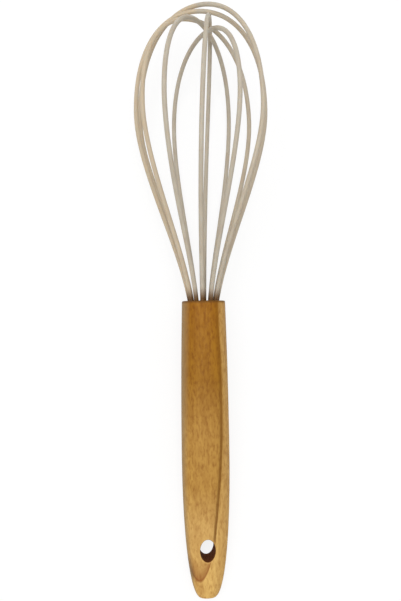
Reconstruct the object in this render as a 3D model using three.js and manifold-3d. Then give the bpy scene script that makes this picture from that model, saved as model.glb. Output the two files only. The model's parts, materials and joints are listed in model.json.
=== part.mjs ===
import * as THREE from 'three';
import { mergeVertices } from 'three/addons/utils/BufferGeometryUtils.js';
import Module from 'manifold-3d';

// A balloon whisk with silicone-coated wire loops and a wooden handle, lying on a table.
// Lengths are millimetres and angles are degrees.
// In the whisk's own frame the axis is Z, the handle's mouth is at z = 0 and the loops rise above it.
// The handle's broad front faces -Y there, and the hanging hole runs along Y.

// Wooden handle
const HANDLE_LENGTH = 147;
const MOUTH_WIDTH = 21.8;
const MOUTH_THICKNESS = 21.4;
const MOUTH_EDGE = 0.5;
const SWELL_FROM_MOUTH = 77;
const SWELL_WIDTH = 24;
const SWELL_THICKNESS = 17.8;
const SHOULDER_WIDTH = 18.3;
const SHOULDER_THICKNESS = 9.2;
const SHOULDER_FROM_BUTT = 0.3;
const SWELL_RUN = 36;
const BUTT_WIDTH = 7;
const BUTT_THICKNESS = 5;
const SECTION_POWER = 2.3;

// Hanging hole through the handle's tail
const HOLE_WIDTH = 7.5;
const HOLE_LENGTH = 11;
const HOLE_FROM_MOUTH = 122.5;

// Coated wire: a steel core inside a silicone sleeve
const SLEEVE_DIAMETER = 2.3;
const CORE_DIAMETER = 0.9;
const CORE_CLEARANCE = 0.35;
const RING_DIAMETER = 13.6;

// Balloon of loops, measured on the wire's centre line
const WIDEST_HEIGHT = 97;
const TOP_APEX = 151.4;
const APEX_PITCH = 3.05;
const FLARE = 10;
const NECK_REACH = 31.5;
const WAIST_REACH = 28.5;
const CROWN_RISE = 0.64;
const CROWN_SPREAD = 0.58;
const FIRST_BEARING = -95;
const HEAD_HALF_WIDTH = 35;

// Each loop's half width, its sideways lean at the apex and its shift towards its front strand,
// as shares of the head's half width. The seat turns its feet off an even ring, and the twist is
// the turn about the whisk's axis that it then takes by its widest height.
// A hand-bent whisk has no two loops quite alike.
// The place is counted from the outermost apex down, and the list runs round the ring.
const LOOPS = [
  { name: 'loop_1', place: 1, reach: 0.94, lean: 0.02, shift: 0, seat: 0, twist: 1 },
  { name: 'loop_2', place: 2, reach: 0.9, lean: -0.1, shift: 0.01, seat: 0, twist: 1 },
  { name: 'loop_3', place: 4, reach: 1.06, lean: 0.09, shift: 0.11, seat: 0, twist: 5 },
  { name: 'loop_4', place: 3, reach: 0.9, lean: 0.15, shift: 0.04, seat: -3, twist: 1 },
  { name: 'loop_5', place: 5, reach: 0.93, lean: 0.03, shift: 0.07, seat: 2, twist: -1 },
  { name: 'loop_6', place: 0, reach: 0.97, lean: -0.03, shift: -0.02, seat: 0, twist: 8 },
];

// Socket in the handle's mouth, with what holds the wires there
const SOCKET_DEPTH = 38;
const RESIN_HEIGHT = 12;
const CORE_END_GAP = 1;
const SPREADER_RECESS = 2.5;
const SPREADER_INSET = 1;
const CLEARANCE = 0.3;

// Facets
const HANDLE_SIDES = 36;
const NECK_STEPS = 5;
const TAIL_STEPS = 16;
const HOLE_SIDES = 28;
const SOCKET_SIDES = 40;
const SLEEVE_SIDES = 8;
const WIRE_SIDES = 6;
const POCKET_SIDES = 8;
const FLUTE_SIDES = 12;
const LOWER_STEPS = 9;
const UPPER_STEPS = 11;

// How it lies: turned about its own axis until two neighbouring loops touch the table
const REST_ROLL = -7.5;

const TILT_PASSES = 6;

const FINISHES = {
  wood: { color: 0xb07f3f, roughness: 0.55, metalness: 0 },
  silicone: { color: 0xb9a58f, roughness: 0.6, metalness: 0 },
  steel: { color: 0xb4b6b8, roughness: 0.35, metalness: 1 },
  nylon: { color: 0xd8d2c4, roughness: 0.5, metalness: 0 },
  resin: { color: 0xc9a86a, roughness: 0.3, metalness: 0 },
};

const sleeveRadius = SLEEVE_DIAMETER / 2;
const coreRadius = CORE_DIAMETER / 2;
const boreRadius = coreRadius + CORE_CLEARANCE;
const ringRadius = RING_DIAMETER / 2;
const spreaderRadius = ringRadius - SPREADER_INSET;
const socketRadius = ringRadius + sleeveRadius + CLEARANCE;
const socketFloor = -SOCKET_DEPTH;
const resinTop = socketFloor + CLEARANCE + RESIN_HEIGHT;
const sleeveEnd = resinTop + CLEARANCE;
const coreEnd = socketFloor + CORE_END_GAP;
const strandStep = 180 / LOOPS.length;

const wasm = await Module();
wasm.setup();

// Turns a closed geometry into a solid that can be cut.
function toSolid(geometry) {
  const bare = new THREE.BufferGeometry();
  bare.setAttribute('position', geometry.attributes.position);
  bare.setIndex(geometry.index);
  const merged = mergeVertices(bare);
  const corners = merged.index.array;
  const triangles = [];
  for (let i = 0; i < corners.length; i += 3) {
    const [a, b, c] = [corners[i], corners[i + 1], corners[i + 2]];
    if (a !== b && b !== c && c !== a) triangles.push(a, b, c);
  }
  return new wasm.Manifold(new wasm.Mesh({
    numProp: 3,
    vertProperties: Float32Array.from(merged.attributes.position.array),
    triVerts: Uint32Array.from(triangles),
  }));
}

function toGeometry(solid) {
  const mesh = solid.getMesh();
  const geometry = new THREE.BufferGeometry();
  geometry.setAttribute('position', new THREE.BufferAttribute(mesh.vertProperties, 3));
  geometry.setIndex(new THREE.BufferAttribute(mesh.triVerts, 1));
  geometry.computeVertexNormals();
  return geometry;
}

// A named piece with a material of its own.
function piece(name, geometry, finish) {
  const mesh = new THREE.Mesh(geometry, new THREE.MeshStandardMaterial(finish));
  mesh.name = name;
  return mesh;
}

function polygon(radius, sides) {
  const corners = [];
  for (let i = 0; i < sides; i += 1) {
    const angle = (2 * Math.PI * i) / sides;
    corners.push(new THREE.Vector2(radius * Math.cos(angle), radius * Math.sin(angle)));
  }
  return corners;
}

// Half width, half thickness and height at each station of the handle, from the mouth to the butt.
// The front outline swells and then narrows, while the side outline tapers steadily.
function handleStations() {
  const halves = (width, thickness, z) => new THREE.Vector3(width / 2, thickness / 2, z);
  const neckRun = SWELL_FROM_MOUTH / 2;
  const thinning = (MOUTH_THICKNESS - SWELL_THICKNESS) / neckRun;
  const pastSwell = SWELL_THICKNESS - thinning * SWELL_RUN;
  const rim = halves(MOUTH_WIDTH - 2 * MOUTH_EDGE, MOUTH_THICKNESS - 2 * MOUTH_EDGE, 0);
  const mouth = halves(MOUTH_WIDTH, MOUTH_THICKNESS, -MOUTH_EDGE);
  const neckPull = halves(SWELL_WIDTH, MOUTH_THICKNESS, -neckRun);
  const swell = halves(SWELL_WIDTH, SWELL_THICKNESS, -SWELL_FROM_MOUTH);
  const swellPull = halves(SWELL_WIDTH, pastSwell, -SWELL_FROM_MOUTH - SWELL_RUN);
  const shoulder = halves(SHOULDER_WIDTH, SHOULDER_THICKNESS, SHOULDER_FROM_BUTT - HANDLE_LENGTH);
  const butt = halves(BUTT_WIDTH, BUTT_THICKNESS, -HANDLE_LENGTH);
  const neck = new THREE.QuadraticBezierCurve3(mouth, neckPull, swell);
  const tail = new THREE.CubicBezierCurve3(swell, swellPull, shoulder, butt);
  return [rim, ...neck.getPoints(NECK_STEPS), ...tail.getPoints(TAIL_STEPS).slice(1)];
}

// A lathe turned from the broad outline, then flattened and squared a little at every station.
function handleBody() {
  const stations = handleStations().reverse();
  const outline = stations.map((s) => new THREE.Vector2(s.x, s.z));
  const first = new THREE.Vector2(0, stations[0].z);
  const last = new THREE.Vector2(0, 0);
  const profile = [first, ...outline, last];
  const body = new THREE.LatheGeometry(profile, HANDLE_SIDES);
  body.rotateX(Math.PI / 2);
  const position = body.attributes.position;
  const squared = (value) => Math.sign(value) * Math.abs(value) ** (2 / SECTION_POWER);
  for (let i = 0; i < position.count; i += 1) {
    const station = stations[(i % profile.length) - 1];
    const radius = Math.hypot(position.getX(i), position.getY(i));
    if (station && radius > 0) {
      const across = squared(position.getX(i) / radius);
      const through = squared(position.getY(i) / radius);
      position.setXY(i, station.x * across, station.y * through);
    }
  }
  return body;
}

function socketCut() {
  const overrun = 2 * MOUTH_EDGE;
  const cut = new THREE.CylinderGeometry(socketRadius, socketRadius, SOCKET_DEPTH + overrun, SOCKET_SIDES);
  cut.rotateX(Math.PI / 2);
  cut.translate(0, 0, (overrun - SOCKET_DEPTH) / 2);
  return cut;
}

function holeCut() {
  const shape = new THREE.Shape();
  shape.setFromPoints(polygon(1, HOLE_SIDES).map((p) => new THREE.Vector2(
    (p.x * HOLE_WIDTH) / 2,
    (p.y * HOLE_LENGTH) / 2,
  )));
  const length = 2 * SWELL_THICKNESS;
  const cut = new THREE.ExtrudeGeometry(shape, { depth: length, bevelEnabled: false });
  cut.translate(0, 0, -length / 2);
  cut.rotateX(Math.PI / 2);
  cut.translate(0, 0, -HOLE_FROM_MOUTH);
  return cut;
}

function handle() {
  const solid = toSolid(handleBody()).subtract(toSolid(socketCut())).subtract(toSolid(holeCut()));
  return piece('handle', toGeometry(solid), FINISHES.wood);
}

// A path through chosen points, so that a core and its sleeve bend at the same places.
class StationPath extends THREE.Curve {
  constructor(stations) {
    super();
    this.stations = stations;
  }

  getPoint(t) {
    const last = this.stations.length - 1;
    const index = Math.min(Math.floor(t * last), last - 1);
    const [from, to] = [this.stations[index], this.stations[index + 1]];
    return new THREE.Vector3().lerpVectors(from, to, t * last - index);
  }

  getPointAt(u) {
    return this.getPoint(u);
  }

  getTangentAt(u, target) {
    return this.getTangent(u, target);
  }
}

// One side of a loop from the handle's mouth to the apex; side is 1 in front and -1 behind.
function strandPoints(loop, side) {
  const apexHeight = TOP_APEX - loop.place * APEX_PITCH;
  const crownHeight = apexHeight - WIDEST_HEIGHT;
  const axis = new THREE.Vector3(0, 0, 1);
  const flare = THREE.MathUtils.degToRad(FLARE);
  const [reach, lean, shift] = [loop.reach, loop.lean, loop.shift].map((share) => share * HEAD_HALF_WIDTH);
  const widest = side * reach + shift;
  const mouth = new THREE.Vector3(side * ringRadius, 0, 0);
  const neck = new THREE.Vector3(side * Math.sin(flare), 0, Math.cos(flare))
    .multiplyScalar(NECK_REACH)
    .add(mouth);
  const waist = new THREE.Vector3(widest, 0, WIDEST_HEIGHT - WAIST_REACH);
  const hip = new THREE.Vector3(widest, 0, WIDEST_HEIGHT);
  const crown = new THREE.Vector3(widest, 0, WIDEST_HEIGHT + CROWN_RISE * crownHeight);
  const brow = new THREE.Vector3(shift + side * CROWN_SPREAD * reach, 0, apexHeight);
  const apex = new THREE.Vector3(shift, 0, apexHeight);
  const lower = new THREE.CubicBezierCurve3(mouth, neck, waist, hip).getSpacedPoints(LOWER_STEPS);
  const upper = new THREE.CubicBezierCurve3(hip, crown, brow, apex).getSpacedPoints(UPPER_STEPS);
  const points = [...lower, ...upper.slice(1)];
  for (const point of points) {
    point.y = lean * (point.z / apexHeight) ** 2;
    const turned = loop.twist * THREE.MathUtils.smoothstep(point.z, 0, WIDEST_HEIGHT);
    point.applyAxisAngle(axis, THREE.MathUtils.degToRad(turned));
  }
  return points;
}

// A loop's centre line from one foot to the other, with a straight leg down to the given depth.
function loopStations(loop, legDepths) {
  const front = strandPoints(loop, 1);
  const back = strandPoints(loop, -1).reverse().slice(1);
  const leg = (side) => legDepths.map((z) => new THREE.Vector3(side * ringRadius, 0, z));
  return [...leg(1), ...front, ...back, ...leg(-1).reverse()];
}

function sweep(shape, stations) {
  return new THREE.ExtrudeGeometry(shape, {
    steps: stations.length - 1,
    extrudePath: new StationPath(stations),
    bevelEnabled: false,
  });
}

function sleeve(loop) {
  const section = new THREE.Shape(polygon(sleeveRadius, SLEEVE_SIDES));
  section.holes.push(new THREE.Path(polygon(boreRadius, WIRE_SIDES)));
  const geometry = sweep(section, loopStations(loop, [sleeveEnd]));
  return piece(`${loop.name}_silicone_sleeve`, geometry, FINISHES.silicone);
}

function core(loop) {
  const section = new THREE.Shape(polygon(coreRadius, WIRE_SIDES));
  const geometry = sweep(section, loopStations(loop, [coreEnd, sleeveEnd]));
  return piece(`${loop.name}_steel_core`, geometry, FINISHES.steel);
}

// Bearing of a loop's front strand, from the front face round to the right.
function bearingOf(loop) {
  return FIRST_BEARING + strandStep * LOOPS.indexOf(loop) + loop.seat;
}

function strandBearings() {
  return LOOPS.flatMap((loop) => [bearingOf(loop), bearingOf(loop) + 180]);
}

// A bearing as the turn about Z that carries +X to it.
function turnOf(bearing) {
  return THREE.MathUtils.degToRad(bearing - 90);
}

function onRing(bearing) {
  const turn = turnOf(bearing);
  return new THREE.Vector2(ringRadius * Math.cos(turn), ringRadius * Math.sin(turn));
}

// A fluted plug that keeps the wires apart in the socket, standing on the resin.
function spreader() {
  const bottom = resinTop + CLEARANCE;
  const length = -SPREADER_RECESS - bottom;
  const rod = new THREE.CylinderGeometry(spreaderRadius, spreaderRadius, length, SOCKET_SIDES);
  rod.rotateX(Math.PI / 2);
  rod.translate(0, 0, bottom + length / 2);
  const radius = sleeveRadius + CLEARANCE;
  let solid = toSolid(rod);
  for (const bearing of strandBearings()) {
    const place = onRing(bearing);
    const flute = new THREE.CylinderGeometry(radius, radius, 2 * length, FLUTE_SIDES);
    flute.rotateX(Math.PI / 2);
    flute.rotateZ(turnOf(bearing));
    flute.translate(place.x, place.y, bottom + length / 2);
    solid = solid.subtract(toSolid(flute));
  }
  return piece('wire_spreader', toGeometry(solid), FINISHES.nylon);
}

// The cast plug at the socket's floor that grips the bare ends of the cores.
function resin() {
  const section = new THREE.Shape(polygon(socketRadius - CLEARANCE, SOCKET_SIDES));
  for (const bearing of strandBearings()) {
    const place = onRing(bearing);
    const pocket = polygon(coreRadius + CLEARANCE, POCKET_SIDES);
    section.holes.push(new THREE.Path(pocket.map((p) => p.add(place))));
  }
  const geometry = new THREE.ExtrudeGeometry(section, { depth: RESIN_HEIGHT, bevelEnabled: false });
  geometry.translate(0, 0, socketFloor + CLEARANCE);
  return piece('potting_resin', geometry, FINISHES.resin);
}

function whisk() {
  const group = new THREE.Group();
  group.add(handle(), spreader(), resin());
  LOOPS.forEach((loop) => {
    const turned = new THREE.Group();
    turned.rotation.z = turnOf(bearingOf(loop));
    turned.add(sleeve(loop), core(loop));
    group.add(turned);
  });
  return group;
}

// Corners of all of a group's meshes, where the group's present turn puts them.
function outerCorners(group) {
  const corners = [];
  group.updateWorldMatrix(true, true);
  group.traverse((node) => {
    if (!node.isMesh) return;
    const position = node.geometry.attributes.position;
    for (let i = 0; i < position.count; i += 1) {
      corners.push(new THREE.Vector3().fromBufferAttribute(position, i).applyMatrix4(node.matrixWorld));
    }
  });
  return corners;
}

// Lays the whisk along +Y with its front up, then lowers the butt until it and the loops both touch.
function layDown(group) {
  const flat = -Math.PI / 2;
  group.rotation.set(flat, 0, THREE.MathUtils.degToRad(REST_ROLL));
  const corners = outerCorners(group);
  const head = corners.filter((p) => p.y > 0);
  const tail = corners.filter((p) => p.y < 0);
  let tilt = 0;
  for (let pass = 0; pass < TILT_PASSES; pass += 1) {
    const height = (p) => p.z * Math.cos(tilt) + p.y * Math.sin(tilt);
    const lowest = (list) => list.reduce((low, p) => (height(p) < height(low) ? p : low));
    const [headFoot, tailFoot] = [lowest(head), lowest(tail)];
    tilt = Math.atan2(tailFoot.z - headFoot.z, headFoot.y - tailFoot.y);
  }
  group.rotation.x = flat + tilt;
}

// Sets the lowest point on the table and centres the whisk over the origin.
function standOnOrigin(group) {
  group.updateWorldMatrix(true, true);
  const box = new THREE.Box3().setFromObject(group, true);
  const centre = box.getCenter(new THREE.Vector3());
  group.position.set(-centre.x, -centre.y, -box.min.z);
}

const siliconeWhisk = whisk();
layDown(siliconeWhisk);
standOnOrigin(siliconeWhisk);

export default siliconeWhisk;
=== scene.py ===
"""Looks of a silicone balloon whisk that lies on a pale table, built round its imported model.

The pieces are modelled in millimetres in the whisk's own frame: the axis is Z, the handle's mouth is at
z = 0, the loops rise above it and the handle's broad front faces -Y. The rest pose then lays them down.
"""

import json
import logging
import math
from dataclasses import dataclass, field
from enum import Enum
from functools import cached_property
from itertools import pairwise
from typing import Any

import bmesh
import bpy
from mathutils import Matrix, Vector
from mathutils.geometry import interpolate_bezier


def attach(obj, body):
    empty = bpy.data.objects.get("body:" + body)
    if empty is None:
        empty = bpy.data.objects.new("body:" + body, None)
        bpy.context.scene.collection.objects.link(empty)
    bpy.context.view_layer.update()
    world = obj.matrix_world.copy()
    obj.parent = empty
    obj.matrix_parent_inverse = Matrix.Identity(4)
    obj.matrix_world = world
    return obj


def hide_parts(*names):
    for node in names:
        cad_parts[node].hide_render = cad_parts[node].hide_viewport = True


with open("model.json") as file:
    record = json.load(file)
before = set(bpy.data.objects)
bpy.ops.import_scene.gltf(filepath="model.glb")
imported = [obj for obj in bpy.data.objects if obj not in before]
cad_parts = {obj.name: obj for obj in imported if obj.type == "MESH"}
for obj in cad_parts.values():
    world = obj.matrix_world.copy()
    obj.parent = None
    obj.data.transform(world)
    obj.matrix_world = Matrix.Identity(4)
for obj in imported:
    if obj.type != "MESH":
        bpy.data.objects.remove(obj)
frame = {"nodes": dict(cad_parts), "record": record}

MM = 0.001
LOG = logging.getLogger("whisk")
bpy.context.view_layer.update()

# Sizes that several pieces share, in millimetres
HANDLE_LENGTH = 147.0
HOLE_FROM_MOUTH = 122.5
HOLE_HALF = (3.75, 5.5)
RING_RADIUS = 6.8
SLEEVE_END = -25.4
TINY = 1e-6

Material = bpy.types.Material
Node = bpy.types.Node
Output = bpy.types.NodeSocket
Piece = bpy.types.Object
Mesh = bmesh.types.BMesh
Vert = bmesh.types.BMVert
Edge = bmesh.types.BMEdge
Colour = tuple[float, float, float, float]
Span = tuple[float, float]
Stops = list[tuple[float, Colour]]


class Slot(Enum):
    """Material slots of the record."""

    WOOD = "handle_wood"
    SILICONE = "loop_silicone"
    STEEL = "core_steel"
    NYLON = "spreader_nylon"
    RESIN = "socket_resin"


class Side(Enum):
    """The two strands of a loop, by the way they lie from the whisk's axis."""

    FRONT = 1
    BACK = -1


class Blend(Enum):
    """How one colour is laid on another."""

    OVER = "MIX"
    DARKEN = "MULTIPLY"


def linear(code: str) -> Colour:
    """Turns an sRGB hex colour into linear light.

    Args:
        code: Six hex digits with a leading hash sign.

    Returns:
        Red, green, blue and an alpha of one.
    """
    parts = [int(code[i:i + 2], 16) / 255 for i in (1, 3, 5)]
    light = [p / 12.92 if p <= 0.04045 else ((p + 0.055) / 1.055) ** 2.4 for p in parts]
    return light[0], light[1], light[2], 1.0


def grey(value: float) -> Colour:
    """Gives a neutral linear colour."""
    return value, value, value, 1.0


def greys(*stops: Span) -> Stops:
    """Turns places and levels into the stops of a grey ramp."""
    return [(place, grey(level)) for place, level in stops]


def between(span: Span, base: float = 0.0) -> dict[str, float]:
    """Gives the sockets that read a span of values, measured from a base."""
    return {"From Min": base + span[0], "From Max": base + span[1]}


def towards(span: Span) -> dict[str, float]:
    """Gives the sockets that turn a share into a span of values."""
    return {"To Min": span[0], "To Max": span[1]}


@dataclass(frozen=True)
class RestPose:
    """How the whisk lies on the table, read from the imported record's mounts."""

    handle_length: float = HANDLE_LENGTH

    def matrix(self) -> Matrix:
        """Gives the turn and place that carry the whisk's own frame into the shared one, in metres.

        Returns:
            A rigid matrix.
        """
        mounts = {mount["name"]: mount for mount in frame["record"]["mounts"]}
        along = -Vector(mounts["butt_face"]["axis"]).normalized()
        front = Vector(mounts["hanging_hole"]["axis"]).normalized()
        across = along.cross(front).normalized()
        turn = Matrix((across, -front, along)).transposed().to_4x4()
        mouth = Vector(mounts["butt_face"]["pos_m"]) + along * self.handle_length * MM
        return Matrix.Translation(mouth) @ turn


REST = RestPose()


class Paint:
    """The nodes of a material or of the world."""

    def __init__(self, owner: Material | bpy.types.World) -> None:
        """Starts with no nodes.

        Args:
            owner: The new material or world.
        """
        owner.use_nodes = True
        self.tree = owner.node_tree
        self.tree.nodes.clear()

    def feed(self, node: Node, inputs: dict[str | int, Any]) -> None:
        """Sets or links a node's sockets.

        Args:
            node: The node.
            inputs: Socket name or number to a value, to an output socket, or to a node whose first output
                in use feeds it.
        """
        for socket, value in inputs.items():
            if isinstance(value, Node):
                value = next(output for output in value.outputs if output.enabled)
            if isinstance(value, Output):
                self.tree.links.new(value, node.inputs[socket])
            else:
                node.inputs[socket].default_value = value

    def add(self, kind: str, inputs: dict[str | int, Any] | None = None, stops: Stops | None = None,
            **settings: Any) -> Node:
        """Adds a node, sets it up and links it.

        Args:
            kind: The node's type, without the ShaderNode that each begins with.
            inputs: What its sockets get, as in feed.
            stops: Place and colour of each stop in order, where the node is a colour ramp.
            settings: Properties of the node itself.

        Returns:
            The new node.
        """
        node = self.tree.nodes.new("ShaderNode" + kind)
        for name, value in settings.items():
            setattr(node, name, value)
        self.feed(node, inputs or {})
        if stops:
            elements = node.color_ramp.elements
            while len(elements) < len(stops):
                elements.new(0.5)
            for element, (place, colour) in zip(elements, stops):
                element.position = place
                element.color = colour
        return node


class Surface(Paint):
    """The nodes of a piece's material, which read the whisk's own frame in millimetres."""

    def __init__(self, name: str) -> None:
        """Starts from a bare Principled surface.

        Args:
            name: The real material's name.
        """
        self.material = bpy.data.materials.new(name)
        super().__init__(self.material)
        self.shader = self.add("BsdfPrincipled")
        self.add("OutputMaterial", {"Surface": self.shader})
        place, turn, _ = REST.matrix().decompose()
        self.point = self.add("Mapping", {
            "Vector": self.add("TexCoord").outputs["Object"],
            "Location": place,
            "Rotation": turn.to_euler("XYZ"),
            "Scale": (MM, MM, MM),
        }, vector_type="TEXTURE")

    @cached_property
    def place(self) -> Any:
        """Gives the outputs that hold the point's X, Y and Z."""
        return self.add("SeparateXYZ", {"Vector": self.point}).outputs

    def finish(self, inputs: dict[str, Any]) -> Material:
        """Sets or links the Principled shader's sockets and gives the material."""
        self.feed(self.shader, inputs)
        return self.material


@dataclass(frozen=True)
class Tint:
    """A colour laid on the wood, and the share of it that shows where it is full."""

    code: str
    share: float
    blend: Blend = Blend.OVER


@dataclass(frozen=True)
class Streak:
    """One kind of streak along the grain, sized in millimetres.

    It begins and is full at two levels of the noise, and its share is how much it darkens the wood.
    """

    width: float
    length: float
    levels: Span
    share: float
    code: str = "#B58A58"

    def tint(self) -> Tint:
        """Gives the colour that darkens the wood."""
        return Tint(self.code, self.share, Blend.DARKEN)

    def mask(self, wood: Surface) -> Node:
        """Draws the streaks, two widths and two lengths apart.

        Args:
            wood: The wood's nodes.

        Returns:
            How strong the streak is, from 0 to 1.
        """
        across, along = 0.5 / self.width, 0.5 / self.length
        stretched = wood.add("Mapping", {"Vector": wood.point, "Scale": (across, across, along)})
        noise = wood.add("TexNoise", {"Vector": stretched, "Scale": 1.0, "Detail": 3.0})
        return wood.add("MapRange", {"Value": noise, **between(self.levels)})


@dataclass(frozen=True)
class OiledWood:
    """Sanded and oiled hardwood.

    It is pale gold at the tail and darker towards the mouth, with short flecks along the grain, one dark
    vein with paler wood beside it and a brown arch near the tail. Painted shade darkens its left flank and
    the hanging hole's wall.
    """

    tail: str = "#ECC170"
    lower: str = "#E1B66B"
    middle: str = "#C79849"
    upper: str = "#A9751F"
    head: str = "#A86F13"
    strip: Tint = Tint("#E2B86C", 0.65)
    vein: Tint = Tint("#744608", 0.8)
    arch: Tint = Tint("#93501E", 0.85)
    stain: Tint = Tint("#5E4A30", 0.7)
    # Painted shade on the left flank, which turns away from the light
    flank_shade: Tint = Tint("#A2865A", 0.8)
    lip: Tint = Tint("#5E3C14", 0.75)
    rim: Tint = Tint("#E2B86C", 0.4)
    # Painted shade on the hanging hole's wall, dark in place of the shadow inside it
    hole_wall_shade: Tint = Tint("#723B19", 0.95)
    roughness: Span = (0.46, 0.62)
    hole_wall_roughness: float = 0.38
    gloss: float = 0.2
    ior: float = 1.47
    pore_relief: float = 0.3
    pore_depth: float = 0.05
    clouds: Streak = Streak(4.0, 22.0, (0.4, 0.7), 0.3)
    # Pores in such wood are finer than this, and are drawn coarser so that they show.
    fibres: Streak = Streak(0.65, 2.4, (0.36, 0.66), 0.32)
    flecks: Streak = Streak(0.5, 1.2, (0.48, 0.7), 0.42)
    length: float = HANDLE_LENGTH
    # The vein's distance right of the axis, from the butt (0) to the mouth (1)
    vein_path: tuple[Span, ...] = (
        (0.0, 1.9), (0.2, 3.4), (0.29, 4.7), (0.4, 6.2), (0.55, 7.7), (0.79, 7.0), (0.9, 6.1), (1.0, 5.7))
    vein_reach: float = 10.0
    vein_width: float = 0.75
    strip_edge: Span = (0.2, 1.4)
    arch_foot: Span = (-4.2, -137.2)
    arch_rise: float = 0.3
    arch_band: Span = (-2.0, 10.0)
    arch_fade: Span = (16.0, 8.0)
    edge_slope: float = 0.16
    edge_line: float = -29.8
    stain_edge: Span = (2.4, 0.4)
    stain_band: Span = (-2.0, 12.0)
    flank_shade_turn: Span = (0.6, 1.0)
    lip_edge: Span = (-1.5, -0.4)
    hole: Span = HOLE_HALF
    hole_height: float = -HOLE_FROM_MOUTH
    rim_spread: Span = (1.0, 1.6)
    wall_spread: Span = (1.05, 1.11)

    def material(self) -> Material:
        """Builds the node material.

        Returns:
            The wood.
        """
        wood = Surface("oiled_hardwood")
        along = wood.add("MapRange", {"Value": wood.place["Z"], **between((-self.length, 0.0))})
        fibres, flecks = self.fibres.mask(wood), self.flecks.mask(wood)
        beside = self._beside_vein(wood, along)
        spread = self._hole_spread(wood)
        wall = self._wall(wood, spread)
        shade = self._base(wood, along)
        for tint, mask in (
                (self.strip, self._right_of_vein(wood, beside)),
                (self.clouds.tint(), self.clouds.mask(wood)),
                (self.fibres.tint(), fibres),
                (self.flecks.tint(), flecks),
                (self.vein, self._vein(wood, beside, along)),
                (self.arch, self._arch(wood)),
                (self.stain, self._stain(wood)),
                # Painted shade on the left flank
                (self.flank_shade, self._flank_shade(wood)),
                (self.lip, self._lip(wood)),
                (self.rim, self._rim(wood, spread)),
                # Painted shade on the hole's wall
                (self.hole_wall_shade, wall)):
            part = wood.add("Math", {0: mask, 1: tint.share}, operation="MULTIPLY")
            shade = wood.add("Mix", {"Factor": part, 6: shade, 7: linear(tint.code)},
                             data_type="RGBA", blend_type=tint.blend.value)
        rough = wood.add("MapRange", {"Value": fibres, **towards(self.roughness)})
        dry = wood.add("Math", {0: wall, 1: self.hole_wall_roughness, 2: rough}, operation="MULTIPLY_ADD")
        relief = wood.add("Math", {0: fibres, 1: flecks}, operation="ADD")
        bump = wood.add("Bump", {"Height": relief, "Strength": self.pore_relief,
                                 "Distance": self.pore_depth * MM}, invert=True)
        return wood.finish({"Base Color": shade, "Roughness": dry, "Normal": bump,
                            "Specular IOR Level": self.gloss, "IOR": self.ior})

    def _base(self, wood: Surface, along: Node) -> Node:
        """Grades the wood from pale gold at the tail to brown at the mouth."""
        shades = ((0.0, self.tail), (0.24, self.lower), (0.38, self.middle), (0.56, self.middle),
                  (0.74, self.upper), (1.0, self.head))
        return wood.add("ValToRGB", {"Fac": along}, [(part, linear(code)) for part, code in shades])

    def _beside_vein(self, wood: Surface, along: Node) -> Node:
        """Measures how far right of the long vein a point lies.

        Args:
            wood: The wood's nodes.
            along: The point's height as a share of the handle.

        Returns:
            The distance in millimetres, below zero on the left.
        """
        path = wood.add("ValToRGB", {"Fac": along},
                        greys(*((part, across / self.vein_reach) for part, across in self.vein_path)))
        path.color_ramp.interpolation = "B_SPLINE"
        return wood.add("Math", {0: path, 1: -self.vein_reach, 2: wood.place["X"]}, operation="MULTIPLY_ADD")

    def _right_of_vein(self, wood: Surface, beside: Node) -> Node:
        """Marks the paler strip between the vein and the handle's right edge."""
        return wood.add("MapRange", {"Value": beside, **between(self.strip_edge)})

    def _vein(self, wood: Surface, beside: Node, along: Node) -> Node:
        """Draws the long vein: sharp on its right, soft on its left, faint by the mouth.

        Args:
            wood: The wood's nodes.
            beside: The distance right of the vein.
            along: The point's height as a share of the handle. The vein ends at the hole.

        Returns:
            How strong the vein is, from 0 to 1.
        """
        share = wood.add("MapRange", {"Value": beside, **between((-4 * self.vein_width, self.vein_width))})
        line = wood.add("ValToRGB", {"Fac": share},
                        greys((0.0, 0.0), (0.5, 0.12), (0.68, 0.9), (0.88, 1.0), (1.0, 0.0)))
        strength = wood.add("ValToRGB", {"Fac": along},
                            greys((0.17, 0.0), (0.21, 1.0), (0.55, 0.9), (0.75, 0.6), (1.0, 0.45)))
        return wood.add("Math", {0: line, 1: strength}, operation="MULTIPLY")

    def _arch(self, wood: Surface) -> Node:
        """Draws the brown arch below the hole, dark at its line and fading up into the wood.

        Args:
            wood: The wood's nodes.

        Returns:
            How strong the arch is, from 0 to 1.
        """
        across, foot = self.arch_foot
        wide = wood.add("Math", {0: wood.place["X"], 1: across}, operation="SUBTRACT")
        square = wood.add("Math", {0: wide, 1: 2.0}, operation="POWER")
        above = wood.add("Math", {0: square, 1: -self.arch_rise, 2: wood.place["Z"]},
                         operation="MULTIPLY_ADD")
        share = wood.add("MapRange", {"Value": above, **between(self.arch_band, foot)})
        line = wood.add("ValToRGB", {"Fac": share},
                        greys((0.04, 0.0), (0.15, 1.0), (0.24, 0.75), (0.5, 0.42), (1.0, 0.0)))
        low = wood.add("MapRange", {"Value": wood.place["Z"], **between(self.arch_fade, foot)})
        return wood.add("Math", {0: line, 1: low}, operation="MULTIPLY")

    def _stain(self, wood: Surface) -> Node:
        """Marks the dark stain where the arch runs out over the handle's left edge.

        Args:
            wood: The wood's nodes.

        Returns:
            How strong the stain is, from 0 to 1.
        """
        inwards = wood.add("Math", {0: wood.place["Z"], 1: self.edge_slope, 2: wood.place["X"]},
                           operation="MULTIPLY_ADD")
        edge = wood.add("MapRange", {"Value": inwards, **between(self.stain_edge, self.edge_line)})
        share = wood.add("MapRange", {
            "Value": wood.place["Z"], **between(self.stain_band, self.arch_foot[1])})
        band = wood.add("ValToRGB", {"Fac": share}, greys((0.0, 0.0), (0.3, 1.0), (0.6, 0.7), (1.0, 0.0)))
        return wood.add("Math", {0: edge, 1: band}, operation="MULTIPLY")

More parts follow.
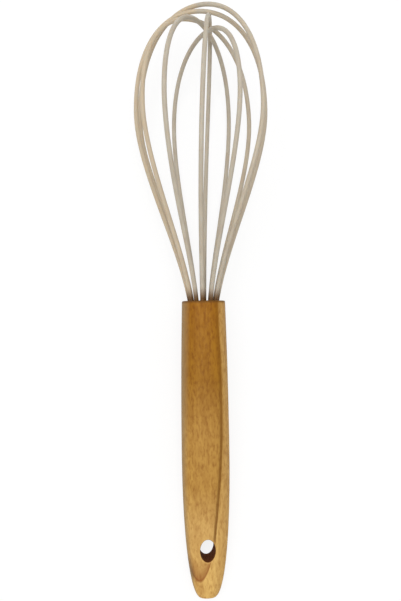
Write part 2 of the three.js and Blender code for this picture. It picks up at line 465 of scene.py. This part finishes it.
    def _flank_shade(self, wood: Surface) -> Node:
        """Marks the left flank, where the surface turns away from the front, for a greyer colour that is
        painted shade.

        Args:
            wood: The wood's nodes.

        Returns:
            How far the surface has turned to the left, from 0 to 1.
        """
        facing = wood.add("TexCoord").outputs["Normal"]
        _, turn, _ = REST.matrix().decompose()
        left = turn @ Vector((-1.0, 0.0, 0.0))
        away = wood.add("VectorMath", {0: facing, 1: left}, operation="DOT_PRODUCT")
        return wood.add("MapRange", {"Value": away, **between(self.flank_shade_turn)})

    def _lip(self, wood: Surface) -> Node:
        """Marks the mouth's edge, which is drawn darker."""
        return wood.add("MapRange", {"Value": wood.place["Z"], **between(self.lip_edge)})

    def _hole_spread(self, wood: Surface) -> Node:
        """Measures how far a point lies from the hanging hole's axis.

        Args:
            wood: The wood's nodes.

        Returns:
            The distance as a share of the hole's own size, squared.
        """
        flat = wood.add("CombineXYZ", {"X": wood.place["X"], "Y": wood.place["Z"]})
        scaled = wood.add("Mapping", {
            "Vector": flat, "Location": (0.0, self.hole_height, 0.0), "Scale": (*self.hole, 1.0),
        }, vector_type="TEXTURE")
        return wood.add("VectorMath", {0: scaled, 1: scaled}, operation="DOT_PRODUCT")

    def _rim(self, wood: Surface, spread: Node) -> Node:
        """Marks the paler edge round the hole."""
        share = wood.add("MapRange", {"Value": spread, **between(self.rim_spread)})
        return wood.add("ValToRGB", {"Fac": share}, greys((0.1, 0.0), (0.25, 0.9), (0.7, 0.0)))

    def _wall(self, wood: Surface, spread: Node) -> Node:
        """Marks the hole's wall, whose dark colour is painted shade."""
        return wood.add("MapRange", {"Value": spread, **between(self.wall_spread), **towards((1.0, 0.0))})


@dataclass(frozen=True)
class SatinSilicone:
    """Moulded silicone rubber: a soft taupe with a waxy sheen, browned by stain and painted shade where it
    enters the handle.

    At the balloon's two sides, where the strands crowd together, a warmer, lighter colour is painted light
    for the light that passes between them.
    """

    colour: str = "#C5BBAA"
    cloud: str = "#BDB19F"
    # Painted light: a warmer colour where the strands crowd at the balloon's sides
    painted_side_light: str = "#D8BF9C"
    # Brown where the strands enter the handle: a stain from oil and glue, and painted shade
    foot: str = "#6E4B1E"
    foot_stain_and_shade_span: Span = (7.5, 0.5)
    cloud_size: float = 9.0
    # The bloom on such rubber is finer than this, and is drawn coarser so that it shows.
    bloom_size: float = 0.5
    bloom_levels: Span = (0.3, 0.7)
    bloom_relief: float = 0.15
    bloom_depth: float = 0.03
    roughness: Span = (0.42, 0.56)
    ior: float = 1.41
    glow: float = 0.4
    glow_depth: float = 1.2
    glow_reach: tuple[float, float, float] = (1.0, 0.75, 0.5)

    def material(self) -> Material:
        """Builds the node material.

        Returns:
            The silicone.
        """
        rubber = Surface("satin_silicone")
        clouds = rubber.add("TexNoise", {
            "Vector": rubber.point, "Scale": 1 / self.cloud_size, "Detail": 3.0})
        shade = rubber.add("ValToRGB", {"Fac": clouds},
                           [(0.35, linear(self.cloud)), (0.65, linear(self.colour))])
        # Stain and painted shade, strongest at the feet
        foot = rubber.add("MapRange", {"Value": rubber.place["Z"], **between(self.foot_stain_and_shade_span)},
                          interpolation_type="SMOOTHSTEP")
        # Painted light warms the sides; the feet take stain and painted shade
        for code, mask in ((self.painted_side_light, self._painted_side_light(rubber)), (self.foot, foot)):
            shade = rubber.add("Mix", {"Factor": mask, 6: shade, 7: linear(code)}, data_type="RGBA")
        bloom = rubber.add("TexNoise", {
            "Vector": rubber.point, "Scale": 1 / self.bloom_size, "Detail": 2.0})
        rough = rubber.add("MapRange", {
            "Value": bloom, **between(self.bloom_levels), **towards(self.roughness)})
        bump = rubber.add("Bump", {
            "Height": bloom, "Strength": self.bloom_relief, "Distance": self.bloom_depth * MM})
        return rubber.finish({"Base Color": shade, "Roughness": rough, "Normal": bump, "IOR": self.ior,
                              "Subsurface Weight": self.glow, "Subsurface Radius": self.glow_reach,
                              "Subsurface Scale": self.glow_depth * MM})

    def _painted_side_light(self, rubber: Surface) -> Node:
        """Marks the balloon's left and right sides, by the bearing from its axis, where the strands get
        painted light.

        Args:
            rubber: The silicone's nodes.

        Returns:
            How much painted light warms the strands, from 0 to 1.
        """
        flat = rubber.add("VectorMath", {0: rubber.point, 1: (1.0, 1.0, 0.0)}, operation="MULTIPLY")
        reach = rubber.add("VectorMath", {0: flat}, operation="LENGTH")
        aside = rubber.add("Math", {0: rubber.place["X"], 1: reach}, operation="DIVIDE")
        share = rubber.add("MapRange", {"Value": aside, **between((-1.0, 1.0))})
        return rubber.add("ValToRGB", {"Fac": share},
                          greys((0.03, 0.5), (0.25, 0.0), (0.85, 0.0), (0.98, 0.25)))


@dataclass(frozen=True)
class DrawnSteel:
    """Drawn spring-steel wire: bright grey metal with fine die marks that vary its gloss."""

    colour: str = "#B9BBBD"
    # Die marks are finer than this, and are drawn coarser so that they show.
    mark_size: float = 0.25
    mark_levels: Span = (0.3, 0.7)
    roughness: Span = (0.24, 0.4)

    def material(self) -> Material:
        """Builds the node material.

        Returns:
            The steel.
        """
        steel = Surface("drawn_spring_steel")
        marks = steel.add("TexNoise", {"Vector": steel.point, "Scale": 1 / self.mark_size, "Detail": 2.0})
        rough = steel.add("MapRange", {
            "Value": marks, **between(self.mark_levels), **towards(self.roughness)})
        return steel.finish({"Base Color": linear(self.colour), "Metallic": 1.0, "Roughness": rough})


@dataclass(frozen=True)
class MouldedNylon:
    """Injection-moulded nylon: a dull ivory with a fine spark-eroded tooth."""

    colour: str = "#DAD3C3"
    shade: str = "#CEC6B4"
    # The tooth is finer than this, and is drawn coarser so that it shows.
    tooth_size: float = 0.3
    tooth_relief: float = 0.2
    tooth_depth: float = 0.03
    roughness: float = 0.55
    ior: float = 1.53

    def material(self) -> Material:
        """Builds the node material.

        Returns:
            The nylon.
        """
        nylon = Surface("moulded_nylon")
        tooth = nylon.add("TexNoise", {"Vector": nylon.point, "Scale": 1 / self.tooth_size, "Detail": 2.0})
        colour = nylon.add("ValToRGB", {"Fac": tooth},
                           [(0.3, linear(self.shade)), (0.7, linear(self.colour))])
        bump = nylon.add("Bump", {
            "Height": tooth, "Strength": self.tooth_relief, "Distance": self.tooth_depth * MM})
        return nylon.finish({
            "Base Color": colour, "Normal": bump, "Roughness": self.roughness, "IOR": self.ior})


@dataclass(frozen=True)
class CastResin:
    """Cast epoxy: glossy amber with paler clouds where air was stirred in."""

    colour: str = "#C9A05A"
    cloud: str = "#DCC08A"
    cloud_size: float = 3.0
    roughness: float = 0.2
    ior: float = 1.55

    def material(self) -> Material:
        """Builds the node material.

        Returns:
            The resin.
        """
        resin = Surface("cast_epoxy")
        clouds = resin.add("TexNoise", {"Vector": resin.point, "Scale": 1 / self.cloud_size, "Detail": 3.0})
        colour = resin.add("ValToRGB", {"Fac": clouds},
                           [(0.4, linear(self.colour)), (0.7, linear(self.cloud))])
        return resin.finish({"Base Color": colour, "Roughness": self.roughness, "IOR": self.ior})


def publish(bm: Mesh, name: str, node: str, material: Material, crease: float = 35.0) -> Piece:
    """Lays a finished shape down at rest and makes it a piece that stands for a node.

    Args:
        bm: The shape in the whisk's own frame, in millimetres. It is freed.
        name: The piece's name.
        node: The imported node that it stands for.
        material: The piece's material.
        crease: Edges that turn by more than this many degrees stay sharp.

    Returns:
        The new object.
    """
    bmesh.ops.recalc_face_normals(bm, faces=bm.faces)
    bmesh.ops.transform(bm, matrix=REST.matrix() @ Matrix.Scale(MM, 4), verts=bm.verts)
    mesh = bpy.data.meshes.new(name)
    bm.to_mesh(mesh)
    bm.free()
    mesh.shade_smooth()
    mesh.set_sharp_from_angle(angle=math.radians(crease))
    mesh.materials.append(material)
    piece = bpy.data.objects.new(name, mesh)
    bpy.context.scene.collection.objects.link(piece)
    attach(piece, "root")
    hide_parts(node)
    LOG.info("%s stands for %s", name, node)
    return piece


def grow_ring(bm: Mesh, edges: list[Edge]) -> tuple[list[Vert], list[Edge]]:
    """Extrudes an open ring of edges in place.

    Args:
        bm: The mesh that holds the ring.
        edges: The ring's edges.

    Returns:
        The new ring's vertices and edges.
    """
    grown = bmesh.ops.extrude_edge_only(bm, edges=edges)["geom"]
    verts = [item for item in grown if isinstance(item, Vert)]
    ring = set(verts)
    new_edges = [item for item in grown if isinstance(item, Edge) and ring.issuperset(item.verts)]
    return verts, new_edges


@dataclass(frozen=True)
class Station:
    """One ring of the handle: half width, half thickness, height, and how square its section is."""

    wide: float
    thick: float
    height: float
    power: float


@dataclass
class Handle:
    """The wooden handle, with its socket and its hanging hole."""

    length: float = HANDLE_LENGTH
    mouth: Span = (10.9, 10.7)
    swell: Span = (12.0, 8.9)
    shoulder: Span = (9.15, 4.6)
    butt: Span = (3.5, 2.5)
    mouth_edge: float = 0.5
    swell_from_mouth: float = 77.0
    swell_run: float = 36.0
    shoulder_from_butt: float = 0.3
    section_power: float = 2.3
    lip_power: float = 2.1
    # The mouth's rounded lip: each ring's inset and drop, as shares of the edge
    lip_steps: tuple[Span, ...] = ((0.0, 1.0), (0.3, 0.3), (1.0, 0.0), (2.0, 0.0))
    round_power: float = 2.0
    neck_points: int = 200
    tail_points: int = 400
    hole: Span = HOLE_HALF
    hole_from_mouth: float = HOLE_FROM_MOUTH
    hole_rim: float = 1.18
    # The hole's rounded edge: each ring's size and its depth below the surface
    hole_edge: tuple[Span, ...] = ((1.06, 0.0), (1.015, 0.12), (1.0, 0.5), (1.0, 1.4))
    # The hole starts larger by this, because smoothing draws it in.
    hole_ease: float = 1.012
    hole_blend: float = 1.5
    hole_span: int = 3
    socket_radius: float = 8.25
    socket_depth: float = 38.0
    socket_edge: Span = (0.25, 0.3)
    socket_rings: tuple[float, ...] = (-1.5, -12.0)
    floor_edge: float = 0.6
    floor_share: float = 0.7
    butt_shares: tuple[float, ...] = (0.55, 0.92)
    tail_rings: tuple[float, ...] = (
        -146.9, -146.6, -146.0, -144.8, -143.0, -140.9, -138.4, -135.6, -132.6)
    neck_rings: tuple[float, ...] = (
        -112.4, -107.5, -103.0, -95.0, -86.0, -76.0, -65.0, -53.0, -40.0, -27.0, -14.0, -5.0, -1.7)
    columns: int = 48
    crease: float = 180.0
    smoothing: int = 2
    finish: OiledWood = field(default_factory=OiledWood)

    def __post_init__(self) -> None:
        """Works the outline out once."""
        self._outline = self.outline()

    def outline(self) -> list[Vector]:
        """Gives the half width, half thickness and height down the handle.

        Returns:
            Many points from the mouth to the butt.
        """
        neck_run = self.swell_from_mouth / 2
        thinning = (self.mouth[1] - self.swell[1]) / neck_run
        mouth = Vector((*self.mouth, -self.mouth_edge))
        pull = Vector((self.swell[0], self.mouth[1], -neck_run))
        swell = Vector((*self.swell, -self.swell_from_mouth))
        past = Vector((self.swell[0], self.swell[1] - thinning * self.swell_run,
                       -self.swell_from_mouth - self.swell_run))
        shoulder = Vector((*self.shoulder, self.shoulder_from_butt - self.length))
        butt = Vector((*self.butt, -self.length))
        # The neck has one pull point, so both of its handles stand two thirds of the way to it.
        neck = interpolate_bezier(
            mouth, mouth.lerp(pull, 2 / 3), swell.lerp(pull, 2 / 3), swell, self.neck_points)
        tail = interpolate_bezier(swell, past, shoulder, butt, self.tail_points)
        return neck + tail[1:]

    def halves(self, height: float) -> Span:
        """Gives the handle's half width and half thickness at a height.

        Args:
            height: Distance above the mouth, so below zero.

        Returns:
            Half width and half thickness.
        """
        points = self._outline
        for above, below in pairwise(points):
            if below.z <= height <= above.z:
                part = (above.z - height) / max(above.z - below.z, TINY)
                return tuple(above.lerp(below, part).xy)
        return tuple((points[0] if height > points[0].z else points[-1]).xy)

    def stations(self) -> list[Station]:
        """Lists the rings from the butt's middle to the socket's floor.

        Returns:
            The rings.
        """
        square, edge = self.section_power, self.mouth_edge
        radius, floor = self.socket_radius, -self.socket_depth
        rim = self.hole[1] * self.hole_rim
        hole_rings = [rim * i / self.hole_span - self.hole_from_mouth
                      for i in range(-self.hole_span, self.hole_span + 1)]
        inner = [Station(share * self.butt[0], share * self.butt[1], -self.length, square)
                 for share in self.butt_shares]
        body = [Station(*self.halves(height), height, square)
                for height in (*self.tail_rings, *hole_rings, *self.neck_rings)]
        powers = (square, square, square, self.lip_power)
        lip = [Station(self.mouth[0] - inset * edge, self.mouth[1] - inset * edge, -drop * edge, power)
               for (inset, drop), power in zip(self.lip_steps, powers)]
        flare, bevel = self.socket_edge
        bore = [(radius + flare, 0.0), (radius, -bevel), *((radius, ring) for ring in self.socket_rings),
                (radius, self.floor_edge + floor), (radius, floor), (self.floor_share * radius, floor)]
        socket = [Station(reach, reach, height, self.round_power) for reach, height in bore]
        return inner + body + lip + socket

    def place(self, column: int, station: Station) -> Vector:
        """Gives a point of a ring.

        Args:
            column: The point's number round the ring, from the right edge.
            station: The ring.

        Returns:
            The point.
        """
        turn = 2 * math.pi * column / self.columns
        across, through = math.cos(turn), math.sin(turn)
        return Vector((math.copysign(abs(across) ** (2 / station.power), across) * station.wide,
                       math.copysign(abs(through) ** (2 / station.power), through) * station.thick,
                       station.height))

    def on_surface(self, across: float, height: float, facing: float) -> Vector:
        """Drops a point of the front or back view onto the handle's surface.

        Args:
            across: Distance right of the axis.
            height: Distance above the mouth.
            facing: 1 for the back, -1 for the front.

        Returns:
            The point.
        """
        wide, thick = self.halves(height)
        share = min(abs(across) / wide, 1.0) ** self.section_power
        return Vector((across, facing * thick * (1 - share) ** (1 / self.section_power), height))

    def build(self) -> Piece:
        """Models the handle.

        Returns:
            The piece.
        """
        bm = bmesh.new()
        stations = self.stations()
        bmesh.ops.create_circle(bm, segments=self.columns, radius=1.0)
        ring, edges = list(bm.verts), list(bm.edges)
        grid = []
        for number, station in enumerate(stations):
            if number:
                ring, edges = grow_ring(bm, edges)
            by_turn = sorted(ring, key=lambda v: math.atan2(v.co.y, v.co.x) % (2 * math.pi))
            grid.append(by_turn)
            for column, vert in enumerate(by_turn):
                vert.co = self.place(column, station)
        bmesh.ops.contextual_create(bm, geom=grid[0])
        bmesh.ops.contextual_create(bm, geom=grid[-1])
        self._pierce(bm, grid, stations)
        piece = publish(bm, "wooden_handle", "handle", self.finish.material(), self.crease)
        smooth = piece.modifiers.new("smooth", "SUBSURF")
        smooth.levels = smooth.render_levels = self.smoothing
        return piece

    def _pierce(self, bm: Mesh, grid: list[list[Vert]], stations: list[Station]) -> None:
        """Opens the hanging hole between the front and the back and rounds its edge.

        Args:
            bm: The handle's mesh.
            grid: Its vertices by ring and column.
            stations: Its rings.
        """
        middle = min(range(len(stations)), key=lambda i: abs(stations[i].height + self.hole_from_mouth))
        span = range(-self.hole_span, self.hole_span + 1)
        rims = []
        for centre, facing in ((3 * self.columns // 4, -1.0), (self.columns // 4, 1.0)):
            self._round_off(grid, stations, middle, centre, facing)
            block = {grid[middle + i][centre + j] for i in span for j in span}
            faces = [face for face in bm.faces if block.issuperset(face.verts) and len(face.verts) == 4]
            bmesh.ops.delete(bm, geom=faces, context="FACES")
            edges = [edge for edge in bm.edges if edge.is_boundary and edge.verts[0].co.y * facing > 0]
            for size, depth in self.hole_edge:
                verts, edges = grow_ring(bm, edges)
                for vert in verts:
                    self._to_rim(vert, size * self.hole_ease, depth, facing)
            rims.append(edges)
        bmesh.ops.bridge_loops(bm, edges=rims[0] + rims[1])

    def _round_off(self, grid: list[list[Vert]], stations: list[Station], middle: int, centre: int,
                   facing: float) -> None:
        """Eases the square grid round the hole into an oval that lies on the surface.

        Args:
            grid: The handle's vertices by ring and column.
            stations: The handle's rings.
            middle: The ring at the hole's centre.
            centre: The column at the hole's centre.
            facing: 1 for the back, -1 for the front.
        """
        reach = 2 * self.hole_span
        for i in range(-reach, reach + 1):
            for j in range(-reach, reach + 1):
                size = max(abs(i), abs(j)) / self.hole_span
                if size == 0:
                    continue
                vert = grid[middle + i][centre + j]
                start = self.place(centre + j, stations[middle + i])
                right = -j * facing
                if abs(right) >= abs(i):
                    turn = math.pi / 4 * i / right + (math.pi if right < 0 else 0)
                else:
                    turn = math.pi / 2 - math.pi / 4 * right / i + (math.pi if i < 0 else 0)
                oval = Vector((math.cos(turn) * self.hole[0] * self.hole_rim,
                               math.sin(turn) * self.hole[1] * self.hole_rim)) * size
                weight = min(max(2.0 - size, 0.0), 1.0) ** self.hole_blend
                across = start.x + (oval.x - start.x) * weight
                height = start.z + (oval.y - self.hole_from_mouth - start.z) * weight
                vert.co = self.on_surface(across, height, facing)

    def _to_rim(self, vert: Vert, size: float, depth: float, facing: float) -> None:
        """Sets a vertex on an oval of the hole's shape, a little below the surface.

        Args:
            vert: The vertex.
            size: The oval's size as a share of the hole's.
            depth: How far below the surface it lies.
            facing: 1 for the back, -1 for the front.
        """
        turn = math.atan2((vert.co.z + self.hole_from_mouth) / self.hole[1], vert.co.x / self.hole[0])
        across = math.cos(turn) * self.hole[0] * size
        height = math.sin(turn) * self.hole[1] * size - self.hole_from_mouth
        vert.co = self.on_surface(across, height, facing)
        vert.co.y -= facing * depth


@dataclass
class WireLoop:
    """One loop of the balloon: a steel core in a silicone sleeve, with both feet in the socket.

    Its place is its order at the tips, from the top one down.
    """

    number: int
    place: int
    reach: float
    lean: float
    shift: float
    twist: float
    bearing: float
    ring_radius: float = RING_RADIUS
    sleeve_radius: float = 1.15
    core_radius: float = 0.45
    core_clearance: float = 0.35
    widest_height: float = 97.0
    top_apex: float = 151.4
    apex_pitch: float = 3.05
    flare: float = 10.0
    neck_reach: float = 31.5
    waist_reach: float = 28.5
    crown_rise: float = 0.64
    crown_spread: float = 0.58
    sleeve_end: float = SLEEVE_END
    core_end: float = -37.0
    leg_rings: tuple[float, ...] = (-12.0, -4.0)
    sides: int = 20
    steps: int = 30

    def strand(self, side: Side) -> list[Vector]:
        """Follows one strand's centre line from the mouth to the apex, in the loop's own plane.

        Args:
            side: Which of the loop's two strands.

        Returns:
            Points with X towards the front strand and Y along the lean.
        """
        sign = side.value
        apex_height = self.top_apex - self.place * self.apex_pitch
        flare = math.radians(self.flare)
        widest = sign * self.reach + self.shift
        mouth = Vector((sign * self.ring_radius, 0, 0))
        neck = mouth + Vector((sign * math.sin(flare), 0, math.cos(flare))) * self.neck_reach
        waist = Vector((widest, 0, self.widest_height - self.waist_reach))
        hip = Vector((widest, 0, self.widest_height))
        rise = self.crown_rise * (apex_height - self.widest_height)
        crown = Vector((widest, 0, self.widest_height + rise))
        brow = Vector((self.shift + sign * self.crown_spread * self.reach, 0, apex_height))
        apex = Vector((self.shift, 0, apex_height))
        points = interpolate_bezier(mouth, neck, waist, hip, self.steps)
        points += interpolate_bezier(hip, crown, brow, apex, self.steps)[1:]
        for point in points:
            point.y = self.lean * (point.z / apex_height) ** 2
            share = min(point.z / self.widest_height, 1.0)
            eased = share * share * (3 - 2 * share)
            point.rotate(Matrix.Rotation(math.radians(self.twist) * eased, 3, "Z"))
        return points

    def centre_line(self, legs: list[float]) -> list[Vector]:
        """Follows the whole loop from one foot to the other in the whisk's frame.

        Args:
            legs: Heights of the points on each straight leg, from the foot up.

        Returns:
            The points.
        """
        front = [Vector((self.ring_radius, 0, z)) for z in legs] + self.strand(Side.FRONT)
        back = [Vector((-self.ring_radius, 0, z)) for z in legs] + self.strand(Side.BACK)
        turn = self.turn()
        return [turn @ point for point in front + back[-2::-1]]

    def turn(self) -> Matrix:
        """Gives the turn from the loop's own plane to its bearing in the whisk's frame."""
        return Matrix.Rotation(math.radians(self.bearing - 90), 3, "Z")

    def tube(self, line: list[Vector], radius: float, capped: bool) -> Mesh:
        """Sweeps a round section along a line.

        Args:
            line: The points to follow.
            radius: The section's radius.
            capped: Whether the ends are closed.

        Returns:
            The tube.
        """
        plane = self.turn() @ Vector((0, 1, 0))
        frames = []
        for number, point in enumerate(line):
            ahead = line[min(number + 1, len(line) - 1)] - line[max(number - 1, 0)]
            ahead.normalize()
            beside = (plane - ahead * plane.dot(ahead)).normalized()
            turn = Matrix((beside, ahead.cross(beside), ahead)).transposed().to_4x4()
            frames.append(Matrix.Translation(point) @ turn)
        bm = bmesh.new()
        bmesh.ops.create_circle(bm, segments=self.sides, radius=radius)
        verts, edges = list(bm.verts), list(bm.edges)
        bmesh.ops.transform(bm, matrix=frames[0], verts=verts)
        if capped:
            bmesh.ops.contextual_create(bm, geom=verts)
        for before, after in pairwise(frames):
            verts, edges = grow_ring(bm, edges)
            bmesh.ops.transform(bm, matrix=after @ before.inverted(), verts=verts)
        if capped:
            bmesh.ops.contextual_create(bm, geom=verts)
        return bm

    def build_sleeve(self, material: Material) -> Piece:
        """Models the silicone sleeve, with its bore.

        Args:
            material: The silicone.

        Returns:
            The piece.
        """
        line = self.centre_line([self.sleeve_end, *self.leg_rings])
        bm = self.tube(line, self.sleeve_radius, False)
        piece = publish(bm, f"silicone_sleeve_{self.number}", f"loop_{self.number}_silicone_sleeve",
                        material)
        wall = piece.modifiers.new("wall", "SOLIDIFY")
        wall.thickness = (self.sleeve_radius - self.core_radius - self.core_clearance) * MM
        wall.offset = -1.0
        wall.use_rim = True
        return piece

    def build_core(self, material: Material) -> Piece:
        """Models the steel core, whose bare ends go down into the resin.

        Args:
            material: The steel.

        Returns:
            The piece.
        """
        line = self.centre_line([self.core_end, self.sleeve_end, *self.leg_rings])
        bm = self.tube(line, self.core_radius, True)
        return publish(bm, f"steel_core_{self.number}", f"loop_{self.number}_steel_core",
                       material)


@dataclass
class Balloon:
    """All the loops of the head, in their order round the ring.

    Reaches, leans and shifts are shares of the half width, and bearings, seats and twists are in degrees.
    """

    first_bearing: float = -95.0
    step: float = 30.0
    half_width: float = 35.0
    places: tuple[int, ...] = (1, 2, 4, 3, 5, 0)
    reaches: tuple[float, ...] = (0.94, 0.9, 1.06, 0.9, 0.93, 0.97)
    leans: tuple[float, ...] = (0.02, -0.1, 0.09, 0.15, 0.03, -0.03)
    shifts: tuple[float, ...] = (0.0, 0.01, 0.11, 0.04, 0.07, -0.02)
    seats: tuple[float, ...] = (0.0, 0.0, 0.0, -3.0, 2.0, 0.0)
    twists: tuple[float, ...] = (1.0, 1.0, 5.0, 1.0, -1.0, 8.0)
    coating: SatinSilicone = field(default_factory=SatinSilicone)
    wire: DrawnSteel = field(default_factory=DrawnSteel)

    def bearings(self) -> tuple[float, ...]:
        """Gives the bearing of each loop's front foot."""
        return tuple(self.first_bearing + self.step * i + seat for i, seat in enumerate(self.seats))

    def loops(self) -> list[WireLoop]:
        """Lists the loops.

        Returns:
            The loops from the left of the front round to the right.
        """
        shares = zip(self.reaches, self.leans, self.shifts)
        sizes = [[self.half_width * share for share in row] for row in shares]
        rows = zip(self.places, sizes, self.twists, self.bearings())
        return [WireLoop(number, place, *size, twist, bearing)
                for number, (place, size, twist, bearing) in enumerate(rows, 1)]

    def build(self) -> list[Piece]:
        """Models every sleeve and core.

        Returns:
            The pieces.
        """
        silicone, steel = self.coating.material(), self.wire.material()
        pieces = []
        for loop in self.loops():
            pieces += [loop.build_sleeve(silicone), loop.build_core(steel)]
        return pieces


@dataclass
class Socket:
    """What holds the wires in the handle: the fluted spreader and the resin below it."""

    bearings: tuple[float, ...]
    ring_radius: float = RING_RADIUS
    radius: float = 5.8
    flute_radius: float = 1.45
    top: float = -2.5
    bottom: float = SLEEVE_END
    edge: float = 0.35
    edge_segments: int = 2
    corners: int = 240
    spreader_finish: MouldedNylon = field(default_factory=MouldedNylon)
    resin_finish: CastResin = field(default_factory=CastResin)

    def edge_at(self, turn: float) -> float:
        """Gives the fluted outline's distance from the axis.

        Args:
            turn: Angle round the axis in radians.

        Returns:
            The distance.
        """
        turns = [math.radians(bearing - 90) for bearing in self.bearings]
        off = min(abs(math.remainder(turn - foot, math.pi)) for foot in turns)
        inside = self.flute_radius ** 2 - (self.ring_radius * math.sin(off)) ** 2
        if inside <= 0:
            return self.radius
        return min(self.radius, self.ring_radius * math.cos(off) - math.sqrt(inside))

    def build_spreader(self) -> Piece:
        """Models the fluted plug.

        Returns:
            The piece.
        """
        bm = bmesh.new()
        bmesh.ops.create_circle(bm, segments=self.corners, radius=self.radius, cap_ends=True)
        for vert in bm.verts:
            reach = self.edge_at(math.atan2(vert.co.y, vert.co.x))
            vert.co = vert.co.normalized() * reach + Vector((0, 0, self.bottom))
        grown = bmesh.ops.extrude_face_region(bm, geom=list(bm.faces))["geom"]
        raised = [item for item in grown if isinstance(item, Vert)]
        bmesh.ops.translate(bm, verts=raised, vec=(0, 0, self.top - self.bottom))
        rims = [edge for edge in bm.edges if abs(edge.verts[0].co.z - edge.verts[1].co.z) < TINY]
        bmesh.ops.bevel(bm, geom=rims, offset=self.edge, offset_type="OFFSET", affect="EDGES",
                        segments=self.edge_segments, profile=0.5, material=-1)
        return publish(bm, "nylon_spreader", "wire_spreader", self.spreader_finish.material())

    def dress_resin(self) -> None:
        """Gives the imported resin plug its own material."""
        plug = frame["nodes"]["potting_resin"]
        plug.data.materials.clear()
        plug.data.materials.append(self.resin_finish.material())
        LOG.info("potting_resin dressed")


@dataclass
class Studio:
    """The pale table, the soft light and the camera."""

    distance: float = 300.0
    focal_pixels: float = 594.0
    image_height: float = 601.0
    sensor_height: float = 24.0
    nearest: float = 0.01
    bearing: float = 4.4
    nod: float = -1.79
    sway: float = -0.82
    offset: Span = (1.46, -0.25)
    floor_size: float = 4.0
    floor_tone: float = 0.8
    seen_tone: float = 0.2
    seen_glow: float = 0.82
    lamp_power: float = 4.9
    lamp_size: float = 0.9
    lamp_place: tuple[float, float, float] = (-0.25, 0.1, 0.9)
    sky: float = 0.55

    def table_paint(self) -> Material:
        """Makes a white paint that glows a little where it is seen, and so keeps only a light shadow.

        Returns:
            The paint.
        """
        material = bpy.data.materials.new("white_table")
        paint = Paint(material)
        path = paint.add("LightPath").outputs
        seen = path["Is Camera Ray"]
        for ray in ("Is Glossy Ray", "Is Transmission Ray"):
            seen = paint.add("Math", {0: seen, 1: path[ray]}, operation="MAXIMUM")
        plain = paint.add("BsdfDiffuse", {"Color": grey(self.floor_tone)})
        thin = paint.add("BsdfDiffuse", {"Color": grey(self.seen_tone)})
        glow = paint.add("Emission", {"Color": grey(1.0), "Strength": self.seen_glow})
        white = paint.add("AddShader", {0: thin, 1: glow})
        mix = paint.add("MixShader", {0: seen, 1: plain, 2: white})
        paint.add("OutputMaterial", {"Surface": mix})
        return material

    def floor(self) -> Piece:
        """Lays a white table that keeps a light shadow of the object.

        Returns:
            The floor.
        """
        bm = bmesh.new()
        bmesh.ops.create_grid(bm, x_segments=1, y_segments=1, size=self.floor_size / 2)
        mesh = bpy.data.meshes.new("table")
        bm.to_mesh(mesh)
        bm.free()
        mesh.materials.append(self.table_paint())
        table = bpy.data.objects.new("table", mesh)
        bpy.context.scene.collection.objects.link(table)
        return table

    def light(self) -> None:
        """Hangs one large soft lamp over the table and fills the rest with an even white sky."""
        lamp = bpy.data.lights.new("softbox", "AREA")
        lamp.shape = "DISK"
        lamp.size = self.lamp_size
        lamp.energy = self.lamp_power
        holder = bpy.data.objects.new("softbox", lamp)
        holder.location = self.lamp_place
        holder.rotation_euler = (-Vector(self.lamp_place)).to_track_quat("-Z", "Y").to_euler()
        bpy.context.scene.collection.objects.link(holder)
        world = bpy.data.worlds.new("white_room")
        room = Paint(world)
        seen = room.add("LightPath").outputs["Is Camera Ray"]
        level = room.add("MapRange", {"Value": seen, **towards((self.sky, 1.0))})
        sky = room.add("Background", {"Color": grey(1.0), "Strength": level})
        room.add("OutputWorld", {"Surface": sky})
        bpy.context.scene.world = world

    def camera(self) -> Piece:
        """Sets the camera where the photograph was taken from.

        Returns:
            The camera.
        """
        data = bpy.data.cameras.new("photo_camera")
        data.sensor_fit = "VERTICAL"
        data.sensor_height = self.sensor_height
        data.lens = data.sensor_height * self.focal_pixels / self.image_height
        data.clip_start = self.nearest
        seen = (Matrix.Translation((self.offset[0] * MM, 0, self.offset[1] * MM))
                @ Matrix.Rotation(math.radians(self.sway), 4, "Y")
                @ Matrix.Rotation(math.radians(self.nod), 4, "X")
                @ Matrix.Rotation(math.radians(self.bearing), 4, "Z"))
        stand = Matrix.Translation((0, -self.distance * MM, 0)) @ Matrix.Rotation(math.pi / 2, 4, "X")
        camera = bpy.data.objects.new("photo_camera", data)
        camera.matrix_world = REST.matrix() @ seen.inverted() @ stand
        bpy.context.scene.collection.objects.link(camera)
        bpy.context.scene.camera = camera
        return camera


def main() -> None:
    """Builds the whisk and its studio."""
    logging.basicConfig(level=logging.INFO, format="%(name)s: %(message)s")
    bpy.context.scene.view_settings.view_transform = "Standard"
    studio = Studio()
    studio.camera()
    studio.floor()
    studio.light()
    Handle().build()
    balloon = Balloon()
    balloon.build()
    socket = Socket(balloon.bearings())
    socket.build_spreader()
    socket.dress_resin()
    LOG.info("boxes noted")


if __name__ == "__main__":
    main()
